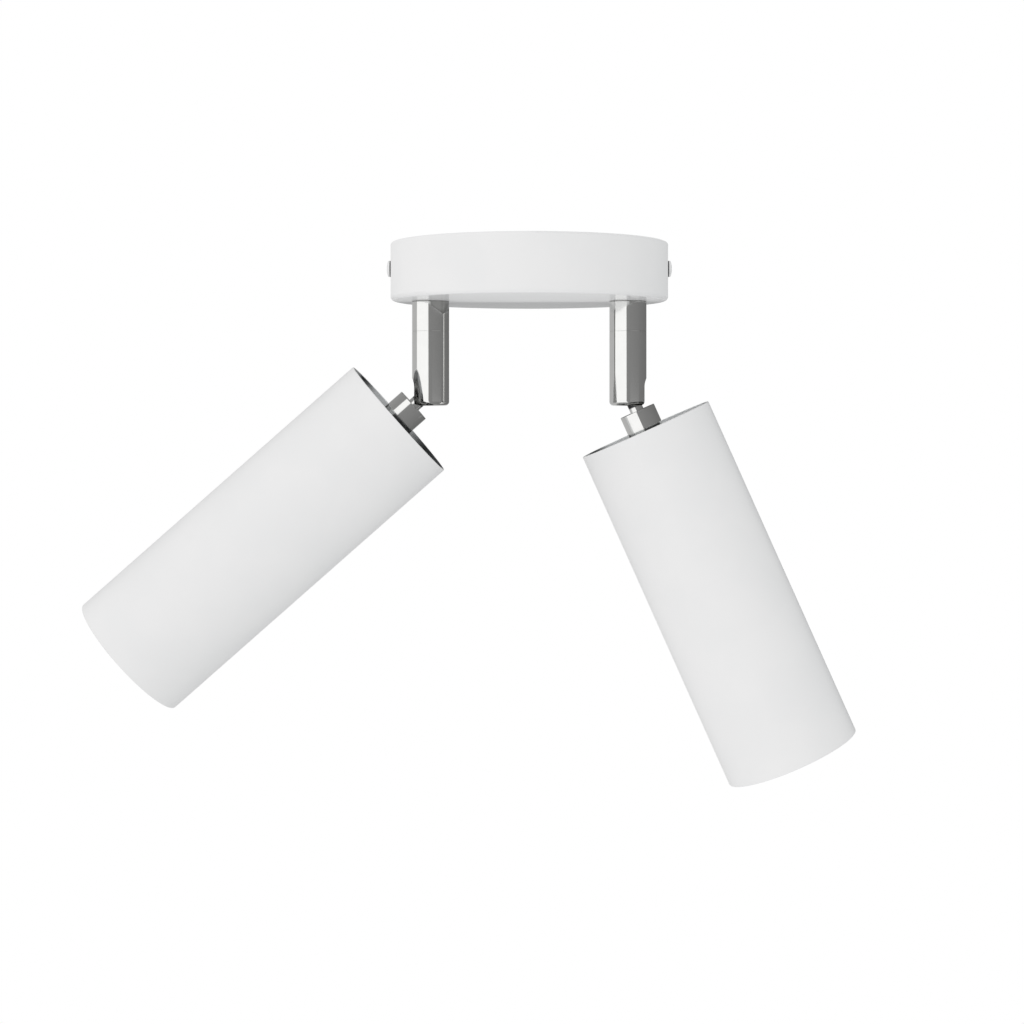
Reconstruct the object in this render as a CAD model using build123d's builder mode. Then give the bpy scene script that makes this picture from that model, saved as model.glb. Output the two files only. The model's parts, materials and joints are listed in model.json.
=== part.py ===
from build123d import *
import math
import os

# Twin spotlight: a round ceiling rose, two slotted swivel stems and two open tubes with a bulb in each.
# The origin is the middle of the ceiling plane. +Z is up, and +X runs along the line of the two stems.
# Millimetres. The heads stand as they are shown: both leaning outwards, the left one further.

# Rose: a pressed steel cup that closes against the ceiling
rose_diameter = 120.0
rose_height = 25.0
rose_wall = 1.5
rose_rim_radius = 1.0
rose_corner_radius = 1.8

# Strap that is screwed to the ceiling and carries the rose between its two bent tabs
strap_thickness = 1.5
strap_width = 18.0
strap_tab_end = 6.0
strap_bend_radius = 1.5
strap_end_gap = 0.3
ceiling_slot_spacing = 64.0
ceiling_slot_length = 12.0
ceiling_slot_width = 4.5

# Screws through the side of the rose into the strap
side_screw_diameter = 4.0
side_screw_length = 8.0
side_screw_drop = 11.0
side_screw_head_diameter = 7.0
side_screw_head_height = 1.8
side_screw_head_edge = 1.1
side_screw_recess_span = 4.0
side_screw_recess_width = 0.9
side_screw_recess_depth = 1.0
side_screw_hole_clearance = 0.25

# Terminal block under the strap
terminal_ways = 3
terminal_pitch = 10.0
terminal_width = 17.0
terminal_height = 13.0
terminal_edge_radius = 1.0
terminal_notch_width = 1.6
terminal_notch_depth = 4.0
barrel_drop = 6.0
barrel_diameter = 5.2
barrel_bore = 3.8
barrel_length = 14.0
clamp_screw_diameter = 3.0
clamp_screw_offset = 4.5
clamp_screw_recess = 1.0
strap_screw_diameter = 3.0
strap_screw_head_diameter = 5.2
strap_screw_head_height = 2.0
strap_screw_recess = 1.0
driver_slot_width = 0.6
driver_slot_depth = 0.8

# Leads between the terminal block and the stems
lead_diameter = 1.8
lead_spacing = 2.0
lead_gap = 0.1
lead_row_start = 7.0
lead_row_pitch = 4.0
lead_bend_radius = 4.5
lead_turn_radius = 9.0
lead_tail = 4.0
lead_entry = 3.0

# Hollow threaded nipples, with the nut and washer that clamp each stem in the rose
nipple_diameter = 10.0
nipple_bore = 7.0
nipple_grip = 9.0
nipple_end = 2.0
nut_width = 14.0
nut_height = 4.0
washer_diameter = 18.0
washer_thickness = 1.0

# Swivel stems
stem_spacing = 85.5
stem_diameter = 16.0
base_length = 13.1
base_edge_chamfer = 0.05
seam_gap = 0.05
pivot_drop = 38.65
body_below_pivot = 6.6
body_edge_radius = 1.7
nipple_socket_depth = 10.0
wire_way_diameter = 5.0
spigot_length = 12.0
ring_drop = 5.0
ring_thickness = 0.9
ring_width = 1.5
ring_gap_width = 3.0

# Ball joint and its slot
ball_diameter = 11.0
neck_diameter = 6.0
neck_bore = 3.6
neck_length = 9.75
neck_thread_length = 6.0
slot_width = 7.8
slot_rise = 1.5
spring_count = 4
spring_thickness = 0.6
spring_rise = 0.4
spring_bore = 5.6
cup_lift = 3.6
cup_clearance = 0.15

# Lamp heads
left_tilt = 48.6
right_tilt = 24.15
collar_diameter = 15.8
collar_chamfer = 0.15
lamp_nipple_grip = 8.0
tube_diameter = 59.5
tube_wall = 1.0
tube_length = 155.7
tube_standoff = 18.4
tube_rim_radius = 0.3
bridge_recess = 7.0
bridge_thickness = 1.2
bridge_flange = 8.0
vent_count = 4
vent_ring_diameter = 42.0
vent_width = 7.0
vent_span = 50.0

# Lampholder for a small screw cap
holder_diameter = 25.0
holder_top_diameter = 17.0
holder_wall = 1.6
holder_cap_length = 20.0
holder_taper = 9.0
holder_joint = 4.0
holder_sleeve_length = 26.0
holder_lip = 1.5
core_wall = 2.0
core_base = 9.0
contact_diameter = 6.0
contact_stem_diameter = 3.0
contact_thickness = 0.8
contact_stem_length = 7.0
shell_wall = 0.4

# Bulb
lamp_thread_diameter = 13.8
lamp_cap_length = 25.0
lamp_skirt_diameter = 17.0
lamp_skirt_length = 3.0
lamp_skirt_edge = 0.8
lamp_tip_diameter = 4.6
lamp_tip_height = 1.5
lamp_cone_height = 4.0
lamp_cone_diameter = 12.0
globe_diameter = 45.0
globe_wall = 0.9
globe_neck_length = 3.0
globe_shoulder_radius = 16.0

# Clearances
thread_clearance = 0.05
running_clearance = 0.05
seat_clearance = 0.1
lamp_clearance = 0.2

# Sizes that follow from the ones above
rose_radius = rose_diameter / 2
rose_floor = -rose_height + rose_wall
strap_reach = math.sqrt((rose_radius - rose_wall) ** 2 - (strap_width / 2) ** 2) - strap_end_gap
strap_tab_drop = side_screw_drop + strap_tab_end
stem_radius = stem_diameter / 2
nipple_radius = nipple_diameter / 2
nipple_top = rose_floor + washer_thickness + nut_height + nipple_end
barrel_level = -strap_thickness - barrel_drop
terminal_bottom = -strap_thickness - terminal_height
ball_bore_radius = ball_diameter / 2 + running_clearance
spigot_radius = ball_bore_radius - running_clearance
body_bottom = pivot_drop + body_below_pivot
ring_level = base_length + ring_drop
spring_step = spring_thickness + spring_rise + running_clearance
spring_top = base_length + spigot_length
cup_top = spring_top + spring_count * spring_step + running_clearance
collar_end = tube_standoff + bridge_recess
bridge_end = collar_end + bridge_thickness
tube_bore_radius = tube_diameter / 2 - tube_wall
shell_radius = lamp_thread_diameter / 2 + lamp_clearance + shell_wall
core_radius = shell_radius + seat_clearance + core_wall
core_start = holder_cap_length - holder_joint
core_floor = core_start + core_base
holder_mouth = holder_cap_length + holder_sleeve_length
core_end = holder_mouth - holder_lip
lamp_tip = core_floor + contact_thickness + seat_clearance
lamp_cap_end = lamp_tip + lamp_cap_length

sides = {"left": -1, "right": 1}
tilts = {"left": left_tilt, "right": right_tilt}


def stem_frame(side):
    """Frame of one stem: origin where it meets the rose, x towards its slot, z up."""
    return Plane(origin=(side * stem_spacing / 2, 0, -rose_height), x_dir=(side, 0, 0), z_dir=(0, 0, 1))


def head_frame(side, tilt):
    """Frame of one head: origin in the middle of its ball, z along the lamp towards the open mouth."""
    lean = math.radians(tilt)
    return Plane(
        origin=(side * stem_spacing / 2, 0, -rose_height - pivot_drop),
        x_dir=(side * math.cos(lean), 0, math.sin(lean)),
        z_dir=(side * math.sin(lean), 0, -math.cos(lean)),
    )


def half_section(frame):
    """Plane for the profile of a turned piece: x is the radius, y runs along the frame's axis."""
    return Plane(origin=frame.origin, x_dir=frame.x_dir, z_dir=-frame.y_dir)


def spin_axis(frame):
    """Axis that the turned pieces of a frame share."""
    return Axis(frame.origin, frame.z_dir)


def turned_face(frame, points):
    """Face of a turned piece from the corners of its half section."""
    with BuildSketch(half_section(frame)) as section:
        with BuildLine():
            Polyline(*points, close=True)
        make_face()
    return section.sketch


def make_ceiling_rose():
    """Pressed cup with a rounded corner, holes for the two stems and for the two side screws."""
    with BuildPart() as ceiling_rose:
        with BuildSketch(Plane.XY.offset(-rose_height)):
            Circle(rose_radius)
        extrude(amount=rose_height)
        fillet(ceiling_rose.edges().group_by(Axis.Z)[0], rose_corner_radius)
        offset(amount=-rose_wall, openings=ceiling_rose.faces().sort_by(Axis.Z)[-1])
        fillet(ceiling_rose.edges().group_by(Axis.Z)[-1].sort_by(SortBy.RADIUS)[-1], rose_rim_radius)
        with BuildSketch(Plane.XY.offset(-rose_height)):
            with GridLocations(stem_spacing, 0, 2, 1):
                Circle(nipple_radius + seat_clearance)
        extrude(amount=rose_wall, mode=Mode.SUBTRACT)
        with BuildSketch(Plane.YZ):
            with Locations((0, -side_screw_drop)):
                Circle(side_screw_diameter / 2 + side_screw_hole_clearance)
        extrude(amount=rose_radius, both=True, mode=Mode.SUBTRACT)
    return ceiling_rose.part


def make_mounting_strap():
    """Steel strip with both ends bent down, slotted for the ceiling screws."""
    with BuildPart() as mounting_strap:
        with BuildSketch(Plane.XZ) as strip:
            with Locations((0, -strap_tab_drop / 2)):
                Rectangle(2 * strap_reach, strap_tab_drop)
            with Locations((0, -(strap_tab_drop + strap_thickness) / 2)):
                Rectangle(
                    2 * (strap_reach - strap_thickness), strap_tab_drop - strap_thickness, mode=Mode.SUBTRACT
                )
            fillet(strip.vertices().group_by(Axis.Y)[1], strap_bend_radius)
            fillet(strip.vertices().group_by(Axis.Y)[-1], strap_bend_radius + strap_thickness)
        extrude(amount=strap_width / 2, both=True)
        with BuildSketch(Plane.XY):
            with GridLocations(ceiling_slot_spacing, 0, 2, 1):
                SlotOverall(ceiling_slot_length, ceiling_slot_width)
            with GridLocations(terminal_pitch, 0, terminal_ways - 1, 1):
                Circle(strap_screw_diameter / 2 + thread_clearance)
        extrude(amount=-strap_thickness, mode=Mode.SUBTRACT)
        with BuildSketch(Plane.YZ):
            with Locations((0, -side_screw_drop)):
                Circle(side_screw_diameter / 2 + thread_clearance)
        extrude(amount=rose_radius, both=True, mode=Mode.SUBTRACT)
    return mounting_strap.part


def make_side_screws():
    """Two pan head screws with a cross recess, one at each end of the strap."""
    dome_rise = side_screw_head_height - side_screw_head_edge
    head_radius = side_screw_head_diameter / 2
    dome_radius = (head_radius**2 + dome_rise**2) / (2 * dome_rise)
    dome_half_angle = math.degrees(math.asin(head_radius / dome_radius))
    shank_radius = side_screw_diameter / 2
    with BuildPart() as side_screws:
        for side in sides.values():
            seat = (side * rose_radius, 0, -side_screw_drop)
            screw = Plane(origin=seat, x_dir=(0, 1, 0), z_dir=(side, 0, 0))
            with BuildSketch(half_section(screw)):
                with BuildLine():
                    Line((0, side_screw_head_height), (0, -side_screw_length))
                    Line((0, -side_screw_length), (shank_radius, -side_screw_length))
                    Line((shank_radius, -side_screw_length), (shank_radius, 0))
                    Line((shank_radius, 0), (head_radius, 0))
                    Line((head_radius, 0), (head_radius, side_screw_head_edge))
                    CenterArc(
                        (0, side_screw_head_height - dome_radius),
                        dome_radius,
                        90 - dome_half_angle,
                        dome_half_angle,
                    )
                make_face()
            revolve(axis=spin_axis(screw))
            with BuildSketch(screw.offset(side_screw_head_height)):
                Rectangle(side_screw_recess_span, side_screw_recess_width)
                Rectangle(side_screw_recess_width, side_screw_recess_span)
            extrude(amount=-side_screw_recess_depth, mode=Mode.SUBTRACT)
    return side_screws.part


def make_terminal_block():
    """Moulded block with a wire way for each conductor, open below for its clamping screws."""
    with BuildPart() as terminal_block:
        with BuildSketch(Plane.XY.offset(-strap_thickness)):
            RectangleRounded(terminal_ways * terminal_pitch, terminal_width, terminal_edge_radius)
        extrude(amount=-terminal_height)
        with BuildSketch(Plane.XZ):
            with Locations((0, barrel_level)):
                with GridLocations(terminal_pitch, 0, terminal_ways, 1):
                    Circle(barrel_diameter / 2 + seat_clearance)
            with Locations((0, terminal_bottom + terminal_notch_depth / 2)):
                with GridLocations(terminal_pitch, 0, terminal_ways - 1, 1):
                    Rectangle(terminal_notch_width, terminal_notch_depth)
        extrude(amount=terminal_width / 2, both=True, mode=Mode.SUBTRACT)
        with BuildSketch(Plane.XY.offset(terminal_bottom)):
            with GridLocations(terminal_pitch, 2 * clamp_screw_offset, terminal_ways, 2):
                Circle(clamp_screw_diameter / 2 + seat_clearance)
        extrude(amount=barrel_level - terminal_bottom, mode=Mode.SUBTRACT)
        with BuildSketch(Plane.XY.offset(terminal_bottom)):
            with GridLocations(terminal_pitch, 0, terminal_ways - 1, 1):
                Circle(strap_screw_diameter / 2 + seat_clearance)
        extrude(amount=terminal_height, mode=Mode.SUBTRACT)
        with BuildSketch(Plane.XY.offset(terminal_bottom)):
            with GridLocations(terminal_pitch, 0, terminal_ways - 1, 1):
                Circle(strap_screw_head_diameter / 2 + seat_clearance)
        extrude(amount=strap_screw_recess + strap_screw_head_height, mode=Mode.SUBTRACT)
    return terminal_block.part


def make_terminal_barrels():
    """Brass tubes that join the leads, tapped from below."""
    with BuildPart() as terminal_barrels:
        with BuildSketch(Plane.XZ):
            with Locations((0, barrel_level)):
                with GridLocations(terminal_pitch, 0, terminal_ways, 1):
                    Circle(barrel_diameter / 2)
                    Circle(barrel_bore / 2, mode=Mode.SUBTRACT)
        extrude(amount=barrel_length / 2, both=True)
        with BuildSketch(Plane.XY.offset(barrel_level)):
            with GridLocations(terminal_pitch, 2 * clamp_screw_offset, terminal_ways, 2):
                Circle(clamp_screw_diameter / 2 + thread_clearance)
        extrude(amount=-barrel_diameter / 2, mode=Mode.SUBTRACT)
    return terminal_barrels.part


def make_terminal_screws():
    """Slotted clamping screws, two for each wire way, that end at the wall of their barrel's bore."""
    screw_start = terminal_bottom + clamp_screw_recess
    screw_end = barrel_level - barrel_bore / 2
    with BuildPart() as terminal_screws:
        with BuildSketch(Plane.XY.offset(screw_start)):
            with GridLocations(terminal_pitch, 2 * clamp_screw_offset, terminal_ways, 2):
                Circle(clamp_screw_diameter / 2)
        extrude(amount=screw_end - screw_start)
        with BuildSketch(Plane.XY.offset(screw_start)):
            with GridLocations(terminal_pitch, 2 * clamp_screw_offset, terminal_ways, 2):
                Rectangle(clamp_screw_diameter, driver_slot_width)
        extrude(amount=driver_slot_depth, mode=Mode.SUBTRACT)
    return terminal_screws.part


def make_strap_screws():
    """Screws that hold the terminal block to the strap, with sunk slotted heads."""
    head_start = terminal_bottom + strap_screw_recess
    with BuildPart() as strap_screws:
        with BuildSketch(Plane.XY.offset(head_start)):
            with GridLocations(terminal_pitch, 0, terminal_ways - 1, 1):
                Circle(strap_screw_head_diameter / 2)
        extrude(amount=strap_screw_head_height)
        with BuildSketch(Plane.XY.offset(head_start)):
            with GridLocations(terminal_pitch, 0, terminal_ways - 1, 1):
                Circle(strap_screw_diameter / 2)
        extrude(amount=-head_start - seat_clearance)
        with BuildSketch(Plane.XY.offset(head_start)):
            with GridLocations(terminal_pitch, 0, terminal_ways - 1, 1):
                Rectangle(strap_screw_head_diameter, driver_slot_width)
        extrude(amount=driver_slot_depth, mode=Mode.SUBTRACT)
    return strap_screws.part


def make_leads(way):
    """The two leads of one conductor: up out of each nipple, round in front of the block, into its barrel."""
    with BuildPart() as leads:
        for side in sides.values():
            rank = way if side < 0 else terminal_ways - 1 - way
            fan = ((terminal_ways - 1) / 2 - rank) * lead_spacing / math.sqrt(2)
            start_x = side * (stem_spacing / 2 - fan)
            level = barrel_level + side * (lead_diameter + lead_gap) / 2
            row_y = -terminal_width / 2 - lead_row_start - rank * lead_row_pitch
            turn_x = start_x - side * (fan - row_y)
            way_x = (way - (terminal_ways - 1) / 2) * terminal_pitch
            with BuildLine() as route:
                FilletPolyline(
                    (start_x, fan, nipple_top - lead_tail),
                    (start_x, fan, level),
                    (turn_x, row_y, level),
                    (way_x, row_y, level),
                    (way_x, -barrel_length / 2 + lead_entry, level),
                    radius=[lead_bend_radius, lead_turn_radius, lead_bend_radius],
                )
            with BuildSketch(Plane(origin=route.line @ 0, z_dir=route.line % 0)):
                Circle(lead_diameter / 2)
            sweep(path=route.line)
    return leads.part


def make_stem_nipple(stem):
    """Hollow threaded tube that joins a stem to the rose and passes its leads."""
    with BuildPart() as stem_nipple:
        with BuildSketch(stem.offset(-nipple_grip)):
            Circle(nipple_radius)
            Circle(nipple_bore / 2, mode=Mode.SUBTRACT)
        extrude(amount=nipple_grip + rose_height + nipple_top)
    return stem_nipple.part


def make_stem_nuts():
    """Hexagon nuts on the nipples."""
    with BuildPart() as stem_nuts:
        with BuildSketch(Plane.XY.offset(rose_floor + washer_thickness)):
            with GridLocations(stem_spacing, 0, 2, 1):
                RegularPolygon(nut_width / 2, 6, major_radius=False)
                Circle(nipple_radius + thread_clearance, mode=Mode.SUBTRACT)
        extrude(amount=nut_height)
    return stem_nuts.part


def make_stem_washers():
    """Plain washers between the nuts and the floor of the rose."""
    with BuildPart() as stem_washers:
        with BuildSketch(Plane.XY.offset(rose_floor)):
            with GridLocations(stem_spacing, 0, 2, 1):
                Circle(washer_diameter / 2)
                Circle(nipple_radius + seat_clearance, mode=Mode.SUBTRACT)
        extrude(amount=washer_thickness)
    return stem_washers.part


def make_swivel_base(stem):
    """Fixed upper part of a stem: tapped for the nipple, with a grooved spigot for the turning body."""
    groove_radius = spigot_radius - ring_width / 2 - running_clearance
    groove_top = ring_level - ring_thickness / 2 - running_clearance
    groove_end = ring_level + ring_thickness / 2 + running_clearance
    with BuildPart() as swivel_base:
        with BuildSketch(stem):
            Circle(stem_radius)
        extrude(amount=-base_length)
        chamfer(swivel_base.edges(), base_edge_chamfer)
        with BuildSketch(stem.offset(-base_length)):
            Circle(spigot_radius)
        extrude(amount=-spigot_length)
        groove = [
            (groove_radius, -groove_top),
            (stem_radius, -groove_top),
            (stem_radius, -groove_end),
            (groove_radius, -groove_end),
        ]
        revolve(turned_face(stem, groove), axis=spin_axis(stem), mode=Mode.SUBTRACT)
        with BuildSketch(stem):
            Circle(nipple_radius + thread_clearance)
        extrude(amount=-nipple_socket_depth, mode=Mode.SUBTRACT)
        with BuildSketch(stem):
            Circle(wire_way_diameter / 2)
        extrude(amount=-spring_top, mode=Mode.SUBTRACT)
    return swivel_base.part


def make_snap_rings():
    """Split rings that sit half in the spigots' grooves and half in the turning bodies."""
    ring_inner = spigot_radius - ring_width / 2
    with BuildPart() as snap_rings:
        for side in sides.values():
            stem = stem_frame(side)
            with BuildSketch(stem.offset(-ring_level - ring_thickness / 2)):
                Circle(ring_inner + ring_width)
                Circle(ring_inner, mode=Mode.SUBTRACT)
                with Locations((-spigot_radius, 0)):
                    Rectangle(2 * ring_width, ring_gap_width, mode=Mode.SUBTRACT)
            extrude(amount=ring_thickness)
    return snap_rings.part


def make_swivel_body(stem):
    """Turning part of a stem: bored for the spigot, closed below by the ball's seat, slotted for the neck."""
    body_top = base_length + seam_gap
    groove_radius = spigot_radius + ring_width / 2 + running_clearance
    groove_top = ring_level - ring_thickness / 2 - running_clearance
    groove_end = ring_level + ring_thickness / 2 + running_clearance
    slot_reach = slot_rise + body_below_pivot
    with BuildPart() as swivel_body:
        with BuildSketch(stem.offset(-body_top)):
            Circle(stem_radius)
        extrude(amount=body_top - body_bottom)
        chamfer(swivel_body.edges().group_by(Axis.Z)[-1], base_edge_chamfer)
        fillet(swivel_body.edges().group_by(Axis.Z)[0], body_edge_radius)
        with BuildSketch(half_section(stem)):
            with BuildLine():
                Line((0, -pivot_drop - ball_bore_radius), (0, -body_top))
                Line((0, -body_top), (ball_bore_radius, -body_top))
                Line((ball_bore_radius, -body_top), (ball_bore_radius, -pivot_drop))
                CenterArc((0, -pivot_drop), ball_bore_radius, 0, -90)
            make_face()
        revolve(axis=spin_axis(stem), mode=Mode.SUBTRACT)
        groove = [(0, -groove_top), (groove_radius, -groove_top), (groove_radius, -groove_end), (0, -groove_end)]
        revolve(turned_face(stem, groove), axis=spin_axis(stem), mode=Mode.SUBTRACT)
        pivot = stem.offset(-pivot_drop)
        with BuildSketch(Plane(origin=pivot.origin, x_dir=stem.y_dir, z_dir=stem.x_dir)):
            with Locations((0, slot_rise)):
                Circle(slot_width / 2)
            with Locations((0, slot_rise - slot_reach / 2)):
                Rectangle(slot_width, slot_reach)
        extrude(amount=stem_radius, mode=Mode.SUBTRACT)
        with BuildSketch(pivot):
            Circle(slot_width / 2)
        extrude(amount=-body_below_pivot, mode=Mode.SUBTRACT)
    return swivel_body.part


def make_disc_springs(stem):
    """Stack of conical spring washers, turned over one after another."""
    outer = spigot_radius - cup_clearance
    inner = spring_bore / 2
    with BuildPart() as disc_springs:
        for place in range(spring_count):
            top = -spring_top - running_clearance - place * spring_step
            outer_drop = spring_rise if place % 2 else 0
            inner_drop = spring_rise - outer_drop
            disc = [
                (inner, top - inner_drop),
                (outer, top - outer_drop),
                (outer, top - outer_drop - spring_thickness),
                (inner, top - inner_drop - spring_thickness),
            ]
            revolve(turned_face(stem, disc), axis=spin_axis(stem))
    return disc_springs.part


def make_ball_cup(stem):
    """Bearing cup that the springs press on top of the ball."""
    outer = ball_bore_radius - cup_clearance
    with BuildPart() as ball_cup:
        with BuildSketch(stem.offset(-cup_top)):
            Circle(outer)
            Circle(wire_way_diameter / 2, mode=Mode.SUBTRACT)
        extrude(amount=cup_top + cup_lift - pivot_drop)
        with Locations(stem.offset(-pivot_drop).origin):
            Sphere(ball_bore_radius, mode=Mode.SUBTRACT)
    return ball_cup.part


def make_ball_stem(head):
    """Ball and neck of a head in one turned piece, bored for the leads."""
    stem_end = neck_length + neck_thread_length
    with BuildPart() as ball_stem:
        with BuildSketch(half_section(head)):
            Circle(ball_diameter / 2)
            with Locations((0, stem_end / 2)):
                Rectangle(neck_diameter, stem_end)
            with Locations((0, stem_end / 2)):
                Rectangle(neck_bore, 2 * stem_end, mode=Mode.SUBTRACT)
            split(bisect_by=Plane.YZ)
        revolve(axis=spin_axis(head))
    return ball_stem.part


def make_collar(head):
    """Sleeve between the neck and the tube: tapped above for the neck and below for the lamp's nipple."""
    with BuildPart() as collar:
        with BuildSketch(head.offset(neck_length)):
            Circle(collar_diameter / 2)
        extrude(amount=collar_end - neck_length)
        chamfer(collar.edges(), collar_chamfer)
        with BuildSketch(head.offset(neck_length)):
            Circle(neck_diameter / 2 + thread_clearance)
        extrude(amount=collar_end - neck_length, mode=Mode.SUBTRACT)
        with BuildSketch(head.offset(collar_end)):
            Circle(nipple_radius + thread_clearance)
        extrude(amount=-lamp_nipple_grip - seat_clearance, mode=Mode.SUBTRACT)
    return collar.part


def make_shade_tube(head):
    """Thin tube, open at both ends, with softened rims."""
    with BuildPart() as shade_tube:
        with BuildSketch(head.offset(tube_standoff)):
            Circle(tube_diameter / 2)
            Circle(tube_bore_radius, mode=Mode.SUBTRACT)
        extrude(amount=tube_length)
        fillet(shade_tube.edges().filter_by(GeomType.CIRCLE), tube_rim_radius)
    return shade_tube.part


def make_tube_bridge(head):
    """Vented disc with a turned-down flange that carries the lampholder inside the tube."""
    bridge_radius = tube_bore_radius - running_clearance
    vent_line = CenterArc((0, 0), vent_ring_diameter / 2, -vent_span / 2, vent_span)
    with BuildPart() as tube_bridge:
        with BuildSketch(head.offset(collar_end)):
            Circle(bridge_radius)
        extrude(amount=bridge_flange)
        with BuildSketch(head.offset(bridge_end)):
            Circle(bridge_radius - bridge_thickness)
        extrude(amount=bridge_flange - bridge_thickness, mode=Mode.SUBTRACT)
        with BuildSketch(head.offset(collar_end)):
            Circle(nipple_radius + seat_clearance)
            with PolarLocations(0, vent_count):
                SlotArc(vent_line, vent_width)
        extrude(amount=bridge_thickness, mode=Mode.SUBTRACT)
    return tube_bridge.part


def make_lamp_nipple(head):
    """Hollow threaded tube that clamps the bridge between the collar and the lampholder."""
    with BuildPart() as lamp_nipple:
        with BuildSketch(head.offset(collar_end - lamp_nipple_grip)):
            Circle(nipple_radius)
            Circle(nipple_bore / 2, mode=Mode.SUBTRACT)
        extrude(amount=2 * lamp_nipple_grip + bridge_thickness)
    return lamp_nipple.part


def make_holder_cap(holder):
    """Upper shell of the lampholder, tapped for the nipple."""
    thread_radius = nipple_radius + thread_clearance
    outer = holder_diameter / 2
    outline = [
        (thread_radius, 0),
        (holder_top_diameter / 2, 0),
        (outer, holder_taper),
        (outer, holder_cap_length),
        (outer - holder_wall, holder_cap_length),
        (outer - holder_wall, holder_taper + holder_wall),
        (thread_radius, holder_taper),
    ]
    with BuildPart() as holder_cap:
        revolve(turned_face(holder, outline), axis=spin_axis(holder))
    return holder_cap.part


def make_holder_sleeve(holder):
    """Lower shell of the lampholder, screwed into the cap, with a lip that keeps the core in."""
    bore = core_radius + seat_clearance
    joint_radius = holder_diameter / 2 - holder_wall - seat_clearance
    lip_radius = shell_radius
    outline = [
        (bore, core_start),
        (joint_radius, core_start),
        (joint_radius, holder_cap_length),
        (holder_diameter / 2, holder_cap_length),
        (holder_diameter / 2, holder_mouth),
        (lip_radius, holder_mouth),
        (lip_radius, core_end),
        (bore, core_end),
    ]
    with BuildPart() as holder_sleeve:
        revolve(turned_face(holder, outline), axis=spin_axis(holder))
    return holder_sleeve.part


def make_holder_core(holder):
    """Insulating core that carries the two contacts."""
    contact_hole = contact_stem_diameter / 2 + seat_clearance
    shell_hole = shell_radius + seat_clearance
    outline = [
        (contact_hole, core_start),
        (core_radius, core_start),
        (core_radius, core_end),
        (shell_hole, core_end),
        (shell_hole, core_floor),
        (contact_hole, core_floor),
    ]
    with BuildPart() as holder_core:
        revolve(turned_face(holder, outline), axis=spin_axis(holder))
    return holder_core.part


def make_screw_shell(holder):
    """Brass shell that takes the lamp's thread."""
    with BuildPart() as screw_shell:
        with BuildSketch(holder.offset(core_floor)):
            Circle(shell_radius)
            Circle(shell_radius - shell_wall, mode=Mode.SUBTRACT)
        extrude(amount=core_end - core_floor)
    return screw_shell.part


def make_centre_contact(holder):
    """Brass contact under the lamp's tip, riveted through the core."""
    outline = [
        (0, core_floor - contact_stem_length),
        (contact_stem_diameter / 2, core_floor - contact_stem_length),
        (contact_stem_diameter / 2, core_floor),
        (contact_diameter / 2, core_floor),
        (contact_diameter / 2, core_floor + contact_thickness),
        (0, core_floor + contact_thickness),
    ]
    with BuildPart() as centre_contact:
        revolve(turned_face(holder, outline), axis=spin_axis(holder))
    return centre_contact.part


def make_bulb_cap(holder):
    """Screw cap of the bulb, with its contact tip and a flared skirt under the glass."""
    thread_radius = lamp_thread_diameter / 2
    skirt_radius = lamp_skirt_diameter / 2
    outline = [
        (0, lamp_tip),
        (lamp_tip_diameter / 2, lamp_tip),
        (lamp_tip_diameter / 2, lamp_tip + lamp_tip_height),
        (lamp_cone_diameter / 2, lamp_tip + lamp_cone_height),
        (thread_radius, lamp_tip + lamp_cone_height),
        (thread_radius, lamp_cap_end - lamp_skirt_length),
        (skirt_radius, lamp_cap_end - lamp_skirt_edge),
        (skirt_radius, lamp_cap_end),
        (0, lamp_cap_end),
    ]
    with BuildPart() as bulb_cap:
        revolve(turned_face(holder, outline), axis=spin_axis(holder))
    return bulb_cap.part


def make_bulb_globe(holder):
    """Opal glass globe on a short neck, hollow and open towards its cap."""
    neck_radius = lamp_skirt_diameter / 2
    globe_radius = globe_diameter / 2
    shoulder_x = neck_radius + globe_shoulder_radius
    shoulder_y = lamp_cap_end + globe_neck_length
    globe_y = shoulder_y + math.sqrt((globe_radius + globe_shoulder_radius) ** 2 - shoulder_x**2)
    join_angle = math.degrees(math.atan2(globe_y - shoulder_y, shoulder_x))
    with BuildPart() as bulb_globe:
        with BuildSketch(half_section(holder)):
            with BuildLine():
                for inset in (0, globe_wall):
                    Line((neck_radius - inset, lamp_cap_end), (neck_radius - inset, shoulder_y))
                    CenterArc(
                        (shoulder_x, shoulder_y), globe_shoulder_radius + inset, 180, -join_angle
                    )
                    CenterArc((0, globe_y), globe_radius - inset, -join_angle, 90 + join_angle)
                Line((0, globe_y + globe_radius), (0, globe_y + globe_radius - globe_wall))
                Line((neck_radius, lamp_cap_end), (neck_radius - globe_wall, lamp_cap_end))
            make_face()
        revolve(axis=spin_axis(holder))
    return bulb_globe.part


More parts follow.
